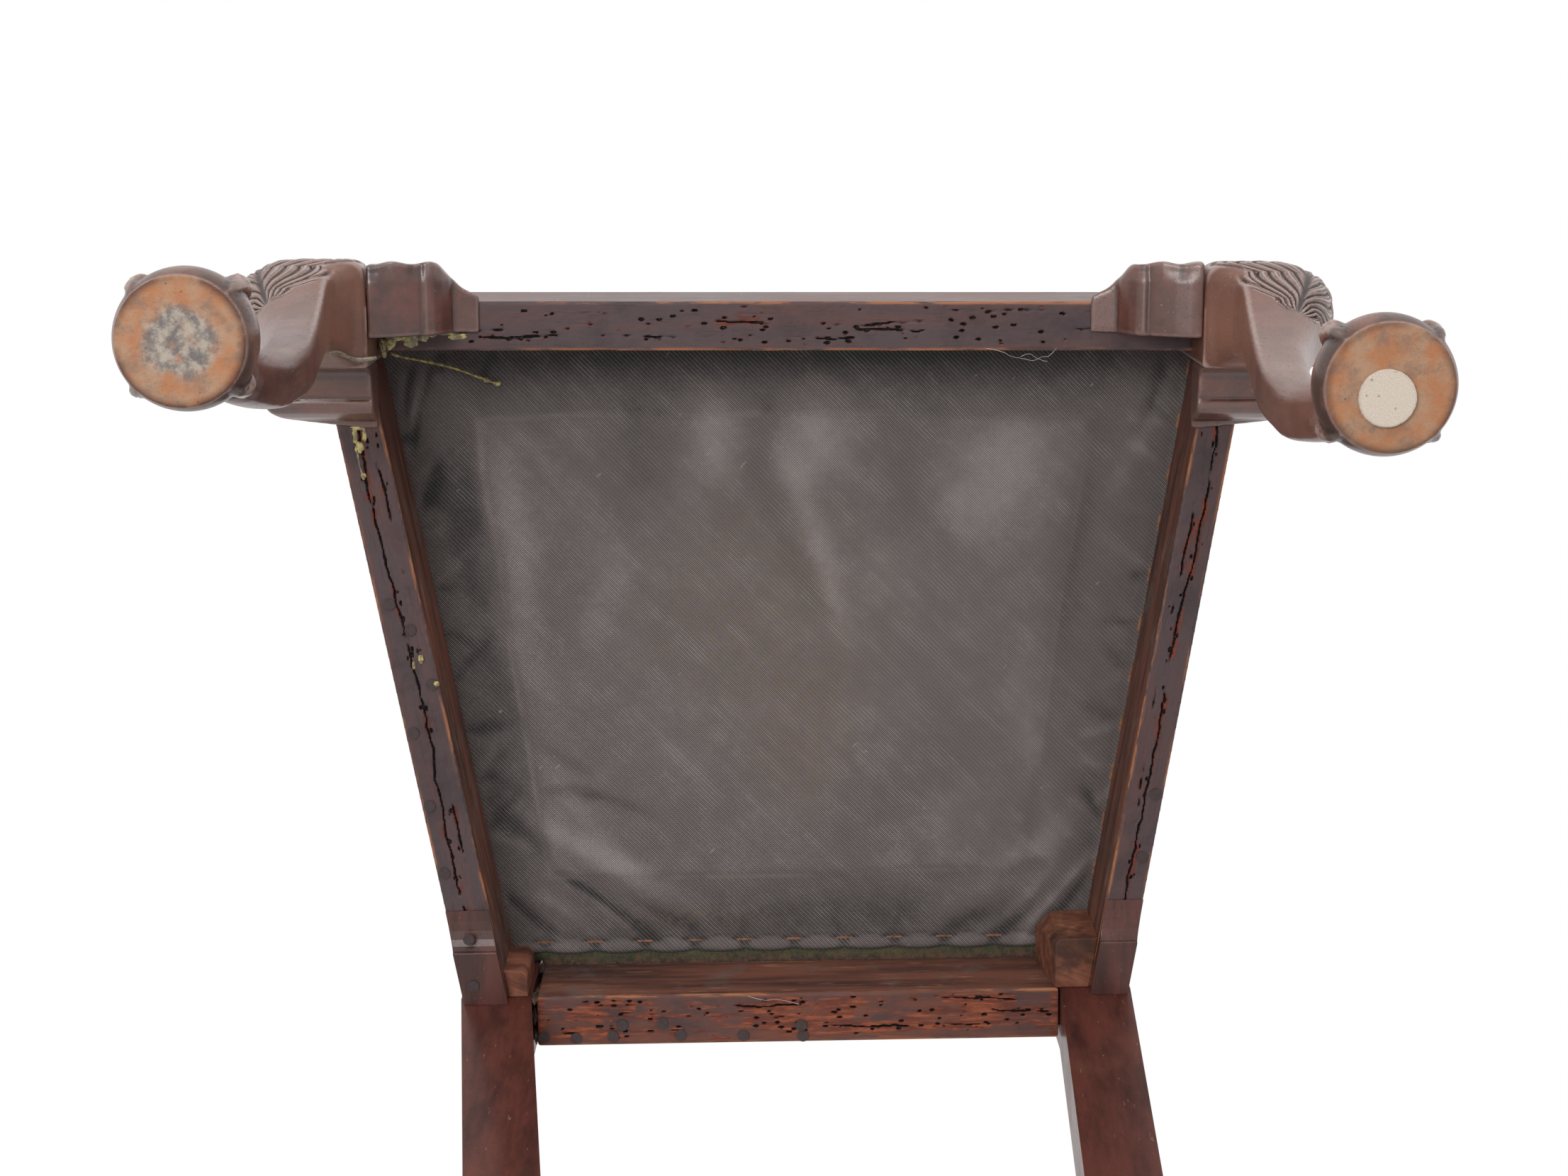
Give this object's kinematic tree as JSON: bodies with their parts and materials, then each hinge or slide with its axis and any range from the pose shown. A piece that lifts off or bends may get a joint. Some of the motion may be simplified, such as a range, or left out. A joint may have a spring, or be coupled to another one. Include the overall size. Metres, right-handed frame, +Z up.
{
  "type": "side chair",
  "caption": "Mahogany side chair with cabriole front legs, ball-and-claw feet, a pierced back and a drop-in upholstered seat.",
  "frame": {"origin": "on the floor, under the middle of the chair's outline from side to side and from front to back", "axes": "+Z up; -Y towards the front, the way a sitter faces; +X to the right of someone who stands in front of the chair and looks at it"},
  "size_m": [0.6321, 0.6194, 0.9644],
  "materials": {
    "mahogany": "old dark red-brown polish, worn raw and orange-brown on the undersides",
    "old_block": "raw, aged, with old glue",
    "pine": "raw",
    "iron": "old and dull",
    "felt": "flat felt",
    "jute": "coarse weave",
    "wadding": "soft stuffing",
    "green_cloth": "matt upholstery cloth",
    "black_cloth": "thin matt cloth",
    "copper": "copper-coloured wire"
  },
  "bodies": {
    "chair": {"front_rail": "mahogany", "rear_rail": "mahogany", "side_rail_left": "mahogany", "side_rail_right": "mahogany", "front_leg_left": "mahogany", "front_leg_right": "mahogany", "rear_post_left": "mahogany", "rear_post_right": "mahogany", "crest_rail": "mahogany", "splat": "mahogany", "splat_shoe": "mahogany", "front_knee_bracket_left": "mahogany", "front_knee_bracket_right": "mahogany", "side_knee_bracket_left": "mahogany", "side_knee_bracket_right": "mahogany", "rear_bracket_left": "mahogany", "rear_bracket_right": "mahogany", "corner_block_left": "old_block", "corner_block_right": "old_block", "rear_rail_nails": "iron", "side_rail_nails_left": "iron", "side_rail_nails_right": "iron", "rear_bracket_nails": "iron", "foot_pad": "felt"},
    "slip_seat": {"slip_frame_front": "pine", "slip_frame_rear": "pine", "slip_frame_left": "pine", "slip_frame_right": "pine", "webbing_cross": "jute", "webbing_long": "jute", "webbing_tacks": "iron", "burlap": "jute", "seat_pad": "wadding", "seat_cover": "green_cloth", "dust_cover": "black_cloth", "dust_cover_staples": "copper"}
  },
  "joints": [
    {"name": "seat_lift", "type": "slide", "parent": "chair", "child": "slip_seat", "axis": [0, 0, 1], "range_m": [0, 0.06]}
  ]
}
